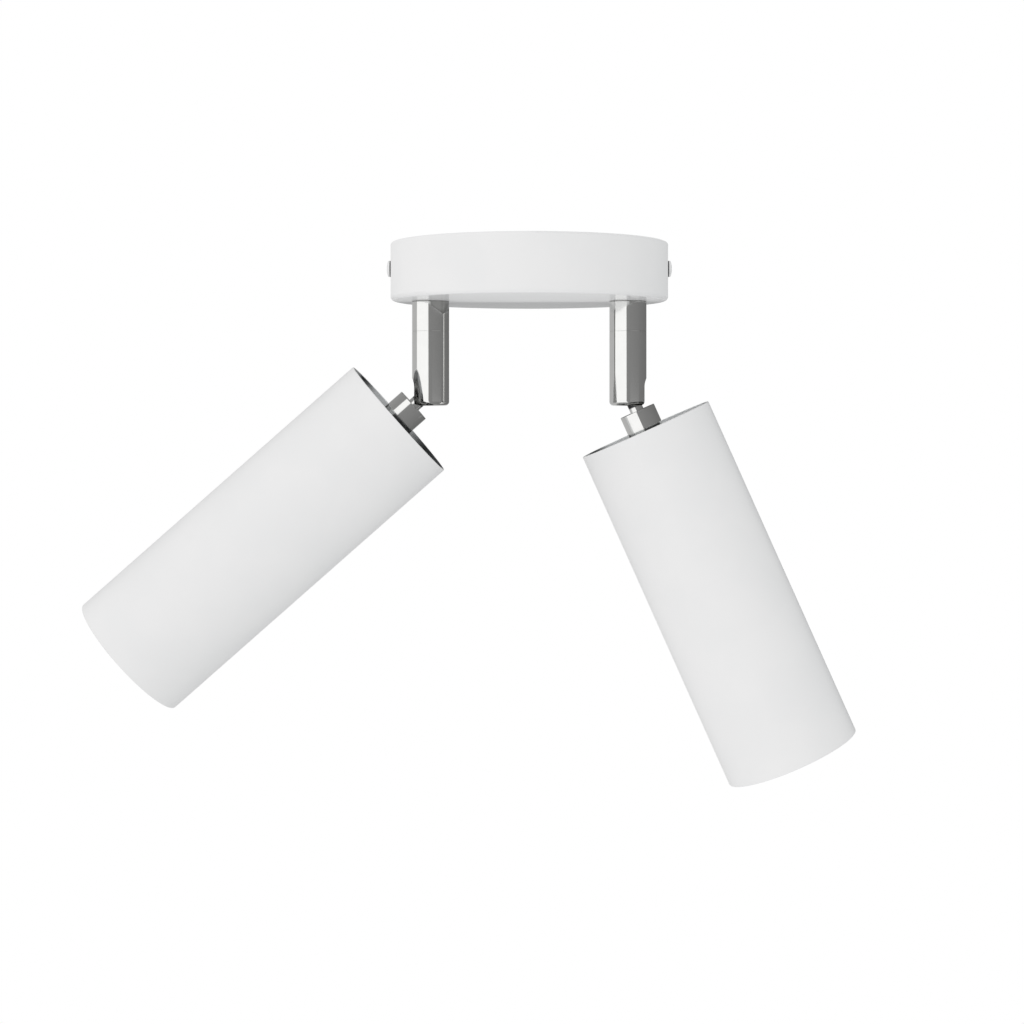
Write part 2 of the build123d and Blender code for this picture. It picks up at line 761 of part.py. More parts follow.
pieces = {
    "ceiling_rose": make_ceiling_rose(),
    "mounting_strap": make_mounting_strap(),
    "side_screws": make_side_screws(),
    "terminal_block": make_terminal_block(),
    "terminal_barrels": make_terminal_barrels(),
    "terminal_screws": make_terminal_screws(),
    "strap_screws": make_strap_screws(),
    "live_leads": make_leads(0),
    "neutral_leads": make_leads(1),
    "earth_leads": make_leads(2),
    "stem_nuts": make_stem_nuts(),
    "stem_washers": make_stem_washers(),
    "snap_rings": make_snap_rings(),
}
for name, side in sides.items():
    stem = stem_frame(side)
    head = head_frame(side, tilts[name])
    holder = head.offset(bridge_end)
    pieces["stem_nipple_" + name] = make_stem_nipple(stem)
    pieces["swivel_base_" + name] = make_swivel_base(stem)
    pieces["swivel_body_" + name] = make_swivel_body(stem)
    pieces["disc_springs_" + name] = make_disc_springs(stem)
    pieces["ball_cup_" + name] = make_ball_cup(stem)
    pieces["ball_stem_" + name] = make_ball_stem(head)
    pieces["collar_" + name] = make_collar(head)
    pieces["shade_tube_" + name] = make_shade_tube(head)
    pieces["tube_bridge_" + name] = make_tube_bridge(head)
    pieces["lamp_nipple_" + name] = make_lamp_nipple(head)
    pieces["holder_cap_" + name] = make_holder_cap(holder)
    pieces["holder_sleeve_" + name] = make_holder_sleeve(holder)
    pieces["holder_core_" + name] = make_holder_core(holder)
    pieces["screw_shell_" + name] = make_screw_shell(holder)
    pieces["centre_contact_" + name] = make_centre_contact(holder)
    pieces["bulb_cap_" + name] = make_bulb_cap(holder)
    pieces["bulb_globe_" + name] = make_bulb_globe(holder)

os.makedirs("parts", exist_ok=True)
for name, piece in pieces.items():
    piece.label = name
    export_step(piece, "parts/" + name + ".step")
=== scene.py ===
import json
import math

import bmesh
import bpy
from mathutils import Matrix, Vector


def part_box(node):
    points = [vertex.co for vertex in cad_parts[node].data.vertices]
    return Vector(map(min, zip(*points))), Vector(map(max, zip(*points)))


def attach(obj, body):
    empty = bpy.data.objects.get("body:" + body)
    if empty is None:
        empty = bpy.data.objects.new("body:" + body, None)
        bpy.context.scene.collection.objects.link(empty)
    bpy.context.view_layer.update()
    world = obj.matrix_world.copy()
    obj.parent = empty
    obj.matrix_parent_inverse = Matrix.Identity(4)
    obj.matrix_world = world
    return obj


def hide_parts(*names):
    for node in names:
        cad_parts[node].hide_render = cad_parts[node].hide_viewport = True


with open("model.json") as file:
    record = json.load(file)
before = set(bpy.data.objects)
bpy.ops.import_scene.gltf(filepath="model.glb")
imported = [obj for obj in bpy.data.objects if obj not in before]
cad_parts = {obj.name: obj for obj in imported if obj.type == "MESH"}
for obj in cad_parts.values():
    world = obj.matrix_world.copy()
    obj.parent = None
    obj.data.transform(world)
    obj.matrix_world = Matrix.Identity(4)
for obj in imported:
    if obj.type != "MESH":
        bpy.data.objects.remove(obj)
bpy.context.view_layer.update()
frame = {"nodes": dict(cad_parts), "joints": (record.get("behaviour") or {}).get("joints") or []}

# Mounting strap: a strip of rolled steel with both ends bent down, zinc plated after punching.
# It is screwed to the ceiling through its two slots, and everything else hangs from it.
zinc_light = (0.66, 0.67, 0.69, 1)
zinc_dull = (0.50, 0.52, 0.53, 1)
zinc_cloud_scale = 160.0
zinc_cloud_edges = (0.3, 0.7)
zinc_roughness = (0.26, 0.38)
rolling_stretch = (60.0, 2600.0, 2600.0)
rolling_roughness = 0.05
rolling_depth = 0.000006


class Wire:
    """An output socket of a node tree. Arithmetic on it adds Math nodes."""

    def __init__(self, tree, socket=None):
        self.tree = tree
        self.socket = socket

    def node(self, kind, settings=None, inputs=None, output=0):
        """Adds a node, sets it, fills or links its inputs and gives one of its outputs."""
        made = self.tree.nodes.new("ShaderNode" + kind)
        for name, value in (settings or {}).items():
            setattr(made, name, value)
        for name, value in (inputs or {}).items():
            if isinstance(value, Wire):
                self.tree.links.new(value.socket, made.inputs[name])
            else:
                made.inputs[name].default_value = value
        return Wire(self.tree, made.outputs[output] if made.outputs else None)

    def math(self, operation, first, second=0.0):
        return self.node("Math", {"operation": operation}, {0: first, 1: second})

    def __add__(self, other):
        return self.math("ADD", self, other)

    def __radd__(self, other):
        return self.math("ADD", other, self)

    def __sub__(self, other):
        return self.math("SUBTRACT", self, other)

    def __rsub__(self, other):
        return self.math("SUBTRACT", other, self)

    def __mul__(self, other):
        return self.math("MULTIPLY", self, other)

    def __rmul__(self, other):
        return self.math("MULTIPLY", other, self)

    def step(self, low, high):
        """Smooth rise from 0 at low to 1 at high."""
        ends = {"Value": self, "From Min": low, "From Max": high}
        return self.node("MapRange", {"interpolation_type": "SMOOTHSTEP"}, ends)

    def past(self, edge, blur):
        """0 before an edge and 1 past it, with a soft change."""
        return self.step(edge - blur, edge + blur)

    def span(self, low, high):
        """Number that goes from low to high as this value goes from 0 to 1."""
        return low + (high - low) * self

    def blend(self, first, second):
        """Colour that goes from first to second as this value goes from 0 to 1."""
        return self.node("Mix", {"data_type": "RGBA"}, {0: self, 6: first, 7: second}, 2)

    def vector(self, operation, other, output=0):
        return self.node("VectorMath", {"operation": operation}, {0: self, 1: other}, output)

    def along(self, direction):
        """How far this point lies along a direction."""
        return self.vector("DOT_PRODUCT", tuple(direction), "Value")

    def from_axis(self, point, direction):
        """Distance of this point from a line."""
        arm = self.vector("SUBTRACT", tuple(point))
        return arm.vector("CROSS_PRODUCT", tuple(direction)).vector("LENGTH", (0, 0, 0), "Value")

    def noise(self, scale, detail=2.0):
        """Soft noise at this point; scale is a number, or one for each direction."""
        if isinstance(scale, tuple):
            return self.vector("MULTIPLY", scale).noise(1.0, detail)
        return self.node("TexNoise", None, {"Vector": self, "Scale": scale, "Detail": detail})

    def bump(self, depth):
        """Surface normal over this height, where a height of 1 stands for depth in metres."""
        return self.node("Bump", None, {"Height": self, "Strength": 1.0, "Distance": depth})


def new_finish(name, describe):
    """Material whose shader sockets come from a function of the place on the piece."""
    finish = bpy.data.materials.new(name)
    finish.use_nodes = True
    finish.node_tree.nodes.clear()
    place = Wire(finish.node_tree).node("TexCoord", output="Object")
    shader = place.node("BsdfPrincipled", None, describe(place))
    place.node("OutputMaterial", None, {"Surface": shader})
    return finish


def dress(finish, *names):
    """Gives a finish to pieces of the frame."""
    for name in names:
        frame["nodes"][name].material_slots[0].material = finish


def zinc_plate(place):
    """Sockets of cloudy zinc over the fine lines of rolled steel."""
    cloud = place.noise(zinc_cloud_scale, detail=4.0)
    rolled = place.noise(rolling_stretch)
    return {
        "Base Color": cloud.step(*zinc_cloud_edges).blend(zinc_light, zinc_dull),
        "Metallic": 1.0,
        "Roughness": cloud.span(*zinc_roughness) + rolling_roughness * rolled,
        "Normal": rolled.bump(rolling_depth),
    }


zinc = new_finish("zinc_plate", zinc_plate)
dress(zinc, "mounting_strap")

# Terminal block: a moulded nylon block with three brass barrels, each with two clamping screws.
# Two slotted screws through the block hold it under the strap.
nylon_colour = (0.80, 0.79, 0.74, 1)
nylon_shade = (0.74, 0.73, 0.67, 1)
nylon_flow_scale = 120.0
nylon_flow_edges = (0.3, 0.7)
nylon_grain_scale = 5200.0
nylon_grain_depth = 0.000008
nylon_roughness = (0.42, 0.54)
nylon_glow = 0.25
nylon_glow_radius = (0.002, 0.0018, 0.0014)
brass_bright = (0.78, 0.60, 0.29, 1)
brass_dull = (0.52, 0.37, 0.17, 1)
brass_tarnish_scale = 210.0
brass_tarnish_edges = (0.42, 0.75)
brass_roughness = (0.2, 0.42)
brass_grain_scale = 3800.0
brass_grain_depth = 0.000004


def moulded_nylon(place):
    flow = place.noise(nylon_flow_scale, detail=3.0)
    grain = place.noise(nylon_grain_scale)
    return {
        "Base Color": flow.step(*nylon_flow_edges).blend(nylon_colour, nylon_shade),
        "Roughness": grain.span(*nylon_roughness),
        "Subsurface Weight": nylon_glow,
        "Subsurface Radius": nylon_glow_radius,
        "Normal": grain.bump(nylon_grain_depth),
    }


def turned_brass(place):
    tarnish = place.noise(brass_tarnish_scale, detail=4.0)
    return {
        "Base Color": tarnish.step(*brass_tarnish_edges).blend(brass_bright, brass_dull),
        "Metallic": 1.0,
        "Roughness": tarnish.span(*brass_roughness),
        "Normal": place.noise(brass_grain_scale).bump(brass_grain_depth),
    }


brass = new_finish("turned_brass", turned_brass)
dress(new_finish("moulded_nylon", moulded_nylon), "terminal_block")
dress(brass, "terminal_barrels")
dress(zinc, "terminal_screws", "strap_screws")

# Leads: single insulated wires from the block into the stems, with a smooth extruded cover.
# Brown is live, blue is neutral, and the earth wire is green with a yellow half.
lead_colours = {"live_leads": (0.15, 0.06, 0.025, 1), "neutral_leads": (0.02, 0.12, 0.42, 1)}
lead_radius = 0.0009
lead_roughness = (0.32, 0.48)
lead_dust = (0.485, 0.485, 0.485, 1)
lead_dust_share = 0.12
scuff_scale = 900.0
scuff_edges = (0.55, 0.8)
scuff_depth = 0.00001
earth_green = (0.04, 0.27, 0.06, 1)
earth_yellow = (0.82, 0.62, 0.03, 1)
earth_period = 4 * lead_radius
earth_edge_blur = 0.08


def lead_cover(base_colour):
    """Sockets of a soft extruded cover with slight scuffs."""

    def describe(place):
        scuff = place.noise(scuff_scale, detail=3.0)
        colour = base_colour(place) if callable(base_colour) else base_colour
        return {
            "Base Color": (lead_dust_share * scuff.step(*scuff_edges)).blend(colour, lead_dust),
            "Roughness": scuff.span(*lead_roughness),
            "Normal": scuff.bump(scuff_depth),
        }

    return describe


def earth_stripes(place):
    """Yellow on one half of the cover, so both colours show from any side."""
    turn = place.along((0, 1, 1))
    wave = place.math("SINE", turn * (math.tau / earth_period))
    return wave.past(0, earth_edge_blur).blend(earth_green, earth_yellow)


for name, colour in lead_colours.items():
    dress(new_finish(name, lead_cover(colour)), name)
dress(new_finish("earth_leads", lead_cover(earth_stripes)), "earth_leads")

# Ceiling rose: a cup pressed from sheet steel, powder coated white inside and out.
# It is pushed up over the strap and held there by the two screws in its side.
coat_colour = (0.84, 0.84, 0.84, 1)
coat_shade = (0.825, 0.827, 0.828, 1)
coat_drift_scale = 38.0
coat_drift_edges = (0.35, 0.65)
coat_specular = 0.05
coat_gloss = 0.04
coat_gloss_roughness = 0.008
coat_gloss_ior = 1.3
peel_scale = 620.0
peel_depth = 0.000006
peel_roughness = (0.3, 0.36)
underside_level = -0.0244
underside_blur = 0.0004
underside_gloss = 0.45
underside_painted_light = (0.895, 0.897, 0.90, 1)
underside_painted_shade = (0.66, 0.663, 0.666, 1)
underside_shade_turn = (-0.002, 0.018)


def powder_coat(place, gloss):
    """Sockets of the white coat; gloss is how much of its surface is smooth."""
    drift = place.noise(coat_drift_scale, detail=3.0)
    peel = place.noise(peel_scale, detail=3.0)
    return {
        "Base Color": drift.step(*coat_drift_edges).blend(coat_colour, coat_shade),
        "Roughness": peel.span(*peel_roughness),
        "Specular IOR Level": coat_specular,
        "Coat Weight": gloss,
        "Coat Roughness": coat_gloss_roughness,
        "Coat IOR": coat_gloss_ior,
        "Normal": peel.bump(peel_depth),
    }


def rose_coat(place):
    """The coat is glossier on the flat underside, which has painted light towards its front and painted
    shade towards its back.
    """
    above = place.along((0, 0, 1)).past(underside_level, underside_blur)
    coat = powder_coat(place, above.span(underside_gloss, coat_gloss))
    # Painted light and shade: the underside is lighter than the coat at its front and greyer towards its
    # back.
    shade_to_back = place.along((0, 1, 0)).step(*underside_shade_turn)
    coat["Base Color"] = above.blend(shade_to_back.blend(underside_painted_light, underside_painted_shade), coat["Base Color"])
    coat["Specular IOR Level"] = 0.0
    return coat


dress(new_finish("powder_coat", rose_coat), "ceiling_rose")

# Side screws: two pan head screws that pass through the rose into the strap's tabs.
# The domes of the heads are lacquered white. Below them the screws are painted dark, a painted shade along
# the edge next to the rose.
edge_painted_shade = (0.08, 0.08, 0.083, 1)
lacquer_start = 0.06042
lacquer_blur = 0.0001
screw_low, screw_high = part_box("side_screws")
screw_level = (screw_low.z + screw_high.z) / 2
screw_head_radius = (screw_high.z - screw_low.z) / 2
screw_head_height = 0.0018
screw_head_edge = 0.0011
screw_edge_round = 0.00012
screw_length = 0.008
screw_radius = 0.002
screw_pitch = 0.0007
screw_thread_depth = 0.00043
dome_rise = screw_head_height - screw_head_edge
dome_radius = (screw_head_radius**2 + dome_rise**2) / (2 * dome_rise)
dome_steps = 10
recess_span = 0.004
recess_width = 0.00095
recess_depth = 0.0011
recess_taper = 0.55
recess_flare = 1.15
recess_clearance = 0.3 * screw_head_height
thread_flat = 0.15
thread_rings = 8
weld_distance = 1e-7
crease_angle = math.radians(28)
sideways = Vector((0, 1, 0))
upright = Vector((0, 0, 1))


def lacquered_screw(place):
    lacquer = powder_coat(place, coat_gloss)
    reach = place.math("ABSOLUTE", place.along((1, 0, 0)))
    # Painted shade: the head's edge next to the rose is dark.
    white = reach.past(lacquer_start, lacquer_blur)
    lacquer["Base Color"] = white.blend(edge_painted_shade, lacquer["Base Color"])
    lacquer["Coat Weight"] = coat_gloss * white
    return lacquer


def turned(shape, seat, axis, outline, segments=64):
    """Adds a turned skin to a mesh. An outline point is (reach along the axis, radius),
    and either may be a function of the angle round the axis."""
    over = axis.cross(sideways)
    rows = []
    for reach, radius in outline:
        row = []
        for step in range(segments):
            angle = math.tau * step / segments
            far = reach(angle) if callable(reach) else reach
            wide = radius(angle) if callable(radius) else radius
            spoke = sideways * math.cos(angle) + over * math.sin(angle)
            row.append(shape.verts.new(seat + axis * far + spoke * wide))
        rows.append(row)
    for first, second in zip(rows, rows[1:]):
        for step in range(segments):
            shape.faces.new((first[step - 1], first[step], second[step], second[step - 1]))


def weld(shape):
    """Joins points that coincide, and turns all faces outwards."""
    bmesh.ops.remove_doubles(shape, verts=shape.verts, dist=weld_distance)
    bmesh.ops.recalc_face_normals(shape, faces=shape.faces)


def thread(start, end, radius, pitch, depth):
    """Outline of a thread from start to end, with flat crests and roots and a run-out at both ends."""
    count = round(abs(end - start) / pitch * thread_rings)

    def ring(reach):
        room = radius - depth + min(abs(reach - start), abs(reach - end))

        def wide(angle):
            turn = (reach / pitch - angle / math.tau) % 1
            cut = (abs(2 * turn - 1) - thread_flat) / (1 - 2 * thread_flat)
            return min(radius - depth * min(max(cut, 0), 1), room)

        return reach, wide

    return [ring(start + (end - start) * step / count) for step in range(count + 1)]


def dome_reach(radius):
    """How far the head's dome stands out at a distance from its middle."""
    return screw_head_height - dome_radius + math.sqrt(dome_radius**2 - radius**2)


def cross_cutter(seat, axis):
    """Two tapered blades that cross, which press the recess into a screw's head."""
    cutter = bmesh.new()
    blade_tip = (screw_head_height - recess_depth, recess_taper)
    blade_top = (screw_head_height + recess_clearance, recess_flare)
    for long_way, short_way in ((sideways, upright), (upright, sideways)):
        corners = []
        for reach, share in (blade_tip, blade_top):
            for along, wide in ((1, 1), (-1, 1), (-1, -1), (1, -1)):
                arm = long_way * along * recess_span / 2 + short_way * wide * recess_width / 2
                corners.append(cutter.verts.new(seat + axis * reach + arm * share))
        cutter.faces.new(corners[:4])
        cutter.faces.new(corners[4:])
        for step in range(4):
            after = (step + 1) % 4
            cutter.faces.new((corners[step], corners[after], corners[4 + after], corners[4 + step]))
    bmesh.ops.recalc_face_normals(cutter, faces=cutter.faces)
    return cutter


def cut_away(shape, cutter):
    """The mesh that is left when a cutter is taken from a shape."""
    pair = []
    for mould in (shape, cutter):
        mesh = bpy.data.meshes.new("mould")
        mould.to_mesh(mesh)
        mould.free()
        pair.append(bpy.data.objects.new("mould", mesh))
        bpy.context.scene.collection.objects.link(pair[-1])
    press = pair[0].modifiers.new("press", "BOOLEAN")
    press.object = pair[1]
    press.operation = "DIFFERENCE"
    press.solver = "EXACT"
    press.use_self = True
    pressed = pair[0].evaluated_get(bpy.context.evaluated_depsgraph_get())
    left = bmesh.new()
    left.from_mesh(pressed.to_mesh())
    for mould in pair:
        bpy.data.objects.remove(mould)
    return left


def new_piece(name, shape, finishes, body, nodes):
    """Makes an object from a finished mesh, which rides on a body and stands for nodes of the frame."""
    weld(shape)
    mesh = bpy.data.meshes.new(name)
    shape.to_mesh(mesh)
    shape.free()
    mesh.shade_smooth()
    mesh.set_sharp_from_angle(angle=crease_angle)
    for finish in finishes:
        mesh.materials.append(finish)
    piece = bpy.data.objects.new(name, mesh)
    bpy.context.scene.collection.objects.link(piece)
    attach(piece, body)
    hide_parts(*nodes)


screw_outline = [(-screw_length, 0)]
screw_outline += thread(-screw_length, 0, screw_radius, screw_pitch, screw_thread_depth)
screw_outline += [(0, screw_head_radius - screw_edge_round), (screw_edge_round, screw_head_radius)]
screw_outline += [(screw_head_edge - screw_edge_round, screw_head_radius)]
for step in range(dome_steps + 1):
    dome_wide = (screw_head_radius - screw_edge_round) * (1 - step / dome_steps)
    screw_outline.append((dome_reach(dome_wide), dome_wide))
screws = bmesh.new()
for outwards in (-1, 1):
    screw_axis = Vector((outwards, 0, 0))
    screw_seat = Vector((outwards * (screw_high.x - screw_head_height), 0, screw_level))
    blank = bmesh.new()
    turned(blank, screw_seat, screw_axis, screw_outline)
    weld(blank)
    pressed_screw = cut_away(blank, cross_cutter(screw_seat, screw_axis))
    whole = bpy.data.meshes.new("pressed_screw")
    pressed_screw.to_mesh(whole)
    pressed_screw.free()
    screws.from_mesh(whole)
    bpy.data.meshes.remove(whole)
screw_finish = new_finish("lacquered_screw", lacquered_screw)
new_piece("pan_head_screws", screws, [screw_finish], "rose", ["side_screws"])

# Stem fixings: a hollow nipple with a fine thread joins each stem to the rose and passes the leads.
# A hexagon nut on a plain washer, both zinc plated steel, clamps it inside the rose.
nipple_bore_radius = 0.0035
nipple_pitch = 0.001
nipple_thread_depth = 0.0006
nut_flats = 0.014
nut_height = 0.004
nut_bore_radius = 0.00505
nut_sink_radius = 0.0056
nut_sink = nut_sink_radius - nut_bore_radius
nut_crown_radius = 0.0066
nut_chamfer = math.tan(math.radians(30))
nut_sector = math.radians(60)
nut_segments = 72
nut_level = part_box("stem_nuts")[0].z
dress(zinc, "stem_washers")


def measure(node, seat, axis):
    """Lowest and highest reach of a node along an axis, and its radius round it."""
    arms = [vertex.co - seat for vertex in frame["nodes"][node].data.vertices]
    reaches = [arm.dot(axis) for arm in arms]
    return min(reaches), max(reaches), max((arm - axis * arm.dot(axis)).length for arm in arms)


def threaded_nipple(name, node, seat, axis, body):
    """Hollow tube with a fine thread all along it."""
    low, high, radius = measure(node, seat, axis)
    shape = bmesh.new()
    outline = [(low, nipple_bore_radius)]
    outline += thread(low, high, radius, nipple_pitch, nipple_thread_depth)
    outline += [(high, nipple_bore_radius), (low, nipple_bore_radius)]
    turned(shape, seat, axis, outline)
    new_piece(name, shape, [zinc], body, [node])


def flats_radius(angle):
    """Distance of the hexagon's side from the middle, in one direction."""
    return nut_flats / 2 / math.cos((angle + nut_sector / 2) % nut_sector - nut_sector / 2)


def nut_drop(angle):
    """How far the chamfer lies below the nut's face where it meets the side."""
    return (flats_radius(angle) - nut_crown_radius) * nut_chamfer


nut_outline = [
    (nut_sink, nut_bore_radius),
    (0, nut_sink_radius),
    (0, nut_crown_radius),
    (nut_drop, flats_radius),
    (lambda angle: nut_height - nut_drop(angle), flats_radius),
    (nut_height, nut_crown_radius),
    (nut_height, nut_sink_radius),
    (nut_height - nut_sink, nut_bore_radius),
    (nut_sink, nut_bore_radius),
]
nuts = bmesh.new()
stem_places = {}
for side in ("left", "right"):
    nipple_low, nipple_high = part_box("stem_nipple_" + side)
    stem_place = Vector(((nipple_low.x + nipple_high.x) / 2, 0, 0))
    stem_places[side] = stem_place
    threaded_nipple("threaded_nipple_" + side, "stem_nipple_" + side, stem_place, upright, "rose")
    turned(nuts, stem_place + upright * nut_level, upright, nut_outline, nut_segments)
new_piece("hexagon_nuts", nuts, [zinc], "rose", ["stem_nuts"])

# Swivel stems: turned brass, chrome plated and polished. The base is fixed to the rose.
# The body turns on the base's spigot, and a slot in it lets the neck of the lamp tilt.
# Under the rose the plating has a painted shadow line at the seat and a patch of painted shade on its
# right side.
# The walls of the milled slot are satin, with painted shade.
chrome_colour = (0.905, 0.905, 0.89, 1)
chrome_deep = (0.885, 0.885, 0.87, 1)
chrome_haze_scale = 240.0
chrome_haze_edges = (0.3, 0.7)
chrome_roughness = (0.05, 0.08)
turning_scale = 5200.0
turning_roughness = 0.02
turning_depth = 0.0000004
seat_level = -0.0254
seat_blur = 0.0001
seat_shadow = (0.36, 0.36, 0.35, 1)
painted_shade_colour = (0.375, 0.375, 0.365, 1)
painted_shade_side = (-0.02, 0.08)
painted_shade_turn = 1.40
painted_shade_blur = 0.0004
painted_shade_edges = {"left": (0.00152, 0.0055), "right": (0.0013, -0.0024)}
milled_radius = (0.0077, 0.00785)
milled_rise = (0.0008, 0.0012)
slot_painted_shade = (0.13, 0.13, 0.12, 1)
milled_roughness = 0.4


def polished_chrome(axis):
    """Sockets of plated metal with faint rings left by the lathe round an axis."""

    def describe(place):
        groove = {"W": place.along(axis) * turning_scale, "Scale": 1.0, "Detail": 2.0}
        rings = place.node("TexNoise", {"noise_dimensions": "1D"}, groove)
        haze = place.noise(chrome_haze_scale, detail=3.0)
        return {
            "Base Color": haze.step(*chrome_haze_edges).blend(chrome_colour, chrome_deep),
            "Metallic": 1.0,
            "Roughness": haze.span(*chrome_roughness) + turning_roughness * rings,
            "Normal": rings.bump(turning_depth),
        }

    return describe


def stem_plating(side):
    """Sockets of a stem's chrome, with a patch of painted shade under the rose and painted shade in the
    satin slot.
    """
    painted_shade_height, painted_shade_slope = painted_shade_edges[side]
    stem_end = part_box("swivel_body_" + side)[0].z

    def describe(place):
        chrome = polished_chrome(upright)(place)
        level = place.along(upright)
        # Painted shade: a dark patch on the right side of the plating just under the rose.
        rightwards = place.node("NewGeometry", output="Normal").along((1, 0, 0))
        capped = rightwards.math("MINIMUM", rightwards, painted_shade_turn - rightwards)
        above = level - (seat_level - painted_shade_height - painted_shade_slope * capped)
        painted_shade = above.past(0, painted_shade_blur) * rightwards.step(*painted_shade_side)
        seat = level.past(seat_level, seat_blur)
        # Painted shade: the walls of the milled slot are painted dark.
        milled = 1 - place.from_axis(stem_places[side], upright).step(*milled_radius)
        milled = milled * (level - stem_end).step(*milled_rise)
        plating = seat.blend(painted_shade.blend(chrome["Base Color"], painted_shade_colour), seat_shadow)
        chrome["Base Color"] = milled.blend(plating, slot_painted_shade)
        chrome["Roughness"] = milled.span(chrome["Roughness"], milled_roughness)
        return chrome

    return describe


for side in stem_places:
    stem_chrome = new_finish("stem_chrome_" + side, stem_plating(side))
    dress(stem_chrome, "swivel_base_" + side, "swivel_body_" + side)

# Swivel insides: a split ring of spring steel holds each turning body on its base. In the body,
# a stack of disc springs presses a cup of black moulded plastic onto the ball.
spring_colour = (0.36, 0.35, 0.34, 1)
spring_blued = (0.20, 0.21, 0.25, 1)
spring_blueing_scale = 420.0
spring_blueing_edges = (0.35, 0.7)
spring_roughness = (0.28, 0.43)
spring_grain_scale = 2600.0
spring_grain_depth = 0.000005
cup_colour = (0.022, 0.022, 0.023, 1)
cup_scuffed = (0.055, 0.055, 0.055, 1)
cup_scuff_scale = 700.0
cup_scuff_edges = (0.5, 0.85)
cup_grain_scale = 4200.0
cup_grain_depth = 0.00001
cup_roughness = (0.34, 0.52)


def tempered_steel(place):
    blueing = place.noise(spring_blueing_scale, detail=3.0)
    return {
        "Base Color": blueing.step(*spring_blueing_edges).blend(spring_colour, spring_blued),
        "Metallic": 1.0,
        "Roughness": blueing.span(*spring_roughness),
        "Normal": place.noise(spring_grain_scale).bump(spring_grain_depth),
    }


def black_moulding(place):
    scuff = place.noise(cup_scuff_scale, detail=4.0)
    grain = place.noise(cup_grain_scale)
    return {
        "Base Color": scuff.step(*cup_scuff_edges).blend(cup_colour, cup_scuffed),
        "Roughness": grain.span(*cup_roughness),
        "Normal": grain.bump(cup_grain_depth),
    }


spring_steel = new_finish("tempered_steel", tempered_steel)
black_plastic = new_finish("black_moulding", black_moulding)
dress(spring_steel, "snap_rings", "disc_springs_left", "disc_springs_right")
dress(black_plastic, "ball_cup_left", "ball_cup_right")

# Ball stems and collars: turned and chrome plated like the stems, each round its own lamp's axis.
# The ball and neck are one piece, and the collar is screwed onto the neck down to the bridge.
# The ball, the root of the neck and the collar's end face are painted dark, as painted shade in the slot
# and under the stem.
ball_end = (0.0080, 0.0086)
ball_painted_shade = (0.045, 0.045, 0.047, 1)
ball_roughness = 0.25
collar_start = 0.00975
end_face = (0.00005, 0.00015)
end_face_painted_shade = (0.13, 0.13, 0.125, 1)
neck_edge = (0.0031, 0.0034)
lamp_axes = {}
lamp_pivots = {}
for joint in frame["joints"]:
    if joint["name"].startswith("tilt_"):
        side = joint["name"].removeprefix("tilt_")
        lean = math.radians(-joint["range_deg"][0])
        outwards = math.copysign(1, joint["pos_m"][0])
        lamp_axes[side] = Vector((outwards * math.sin(lean), 0, -math.cos(lean)))
        lamp_pivots[side] = Vector(joint["pos_m"])


def ball_and_neck(side):
    """Sockets of the chrome on neck and collar, with painted shade on the ball and the collar's end face.
    """
    pivot, axis = lamp_pivots[side], lamp_axes[side]

    def describe(place):
        chrome = polished_chrome(axis)(place)
        # Painted shade: the ball and the collar's end face are darkened.
        bright = place.vector("DISTANCE", tuple(pivot), "Value").step(*ball_end)
        reach = place.vector("SUBTRACT", tuple(pivot)).along(axis) - collar_start
        painted_shade = (1 - reach.step(*end_face)) * place.from_axis(pivot, axis).step(*neck_edge)
        plated = painted_shade.blend(chrome["Base Color"], end_face_painted_shade)
        chrome["Base Color"] = bright.blend(ball_painted_shade, plated)
        chrome["Roughness"] = bright.span(ball_roughness, chrome["Roughness"])
        return chrome

    return describe


for side in lamp_axes:
    lamp_chrome = new_finish("lamp_chrome_" + side, ball_and_neck(side))
    dress(lamp_chrome, "ball_stem_" + side, "collar_" + side)

# Bridge: a pressed steel disc with four vents, phosphated grey, that carries the lampholder in
# the tube. The hollow nipple through its middle clamps it between the collar and the lampholder.
bridge_colour = (0.36, 0.36, 0.35, 1)
bridge_light = (0.44, 0.44, 0.43, 1)
bridge_cloud_scale = 130.0
bridge_cloud_edges = (0.35, 0.7)
bridge_metallic = 0.3
bridge_roughness = (0.32, 0.44)
bridge_grain_scale = 2400.0
bridge_grain_depth = 0.000006


def dark_steel(place):
    cloud = place.noise(bridge_cloud_scale, detail=4.0)
    grain = place.noise(bridge_grain_scale)
    return {
        "Base Color": cloud.step(*bridge_cloud_edges).blend(bridge_colour, bridge_light),
        "Metallic": bridge_metallic,
        "Roughness": grain.span(*bridge_roughness),
        "Normal": grain.bump(bridge_grain_depth),
    }


bridge_steel = new_finish("dark_steel", dark_steel)
for side in lamp_axes:
    dress(bridge_steel, "tube_bridge_" + side)
    lamp_node = "lamp_nipple_" + side
    threaded_nipple("bridge_nipple_" + side, lamp_node, lamp_pivots[side], lamp_axes[side], "head_" + side)

# Lampholder: a black moulded cap and sleeve screwed together round a pale insulating core.
# The core carries the brass screw shell and the brass centre contact.
core_colour = (0.70, 0.67, 0.60, 1)
core_shade = (0.60, 0.57, 0.50, 1)
core_cloud_scale = 240.0
core_cloud_edges = (0.3, 0.7)
core_roughness = (0.3, 0.45)
core_glaze = 0.3
core_grain_scale = 2200.0
core_grain_depth = 0.000006
rolled_pitch = 0.002822
rolled_depth = 0.0006
rolled_run_out = 0.0012
rolled_rings = 10
shell_wall = 0.0004


def glazed_core(place):
    cloud = place.noise(core_cloud_scale, detail=3.0)
    return {
        "Base Color": cloud.step(*core_cloud_edges).blend(core_colour, core_shade),
        "Roughness": cloud.span(*core_roughness),
        "Coat Weight": core_glaze,
        "Normal": place.noise(core_grain_scale).bump(core_grain_depth),
    }


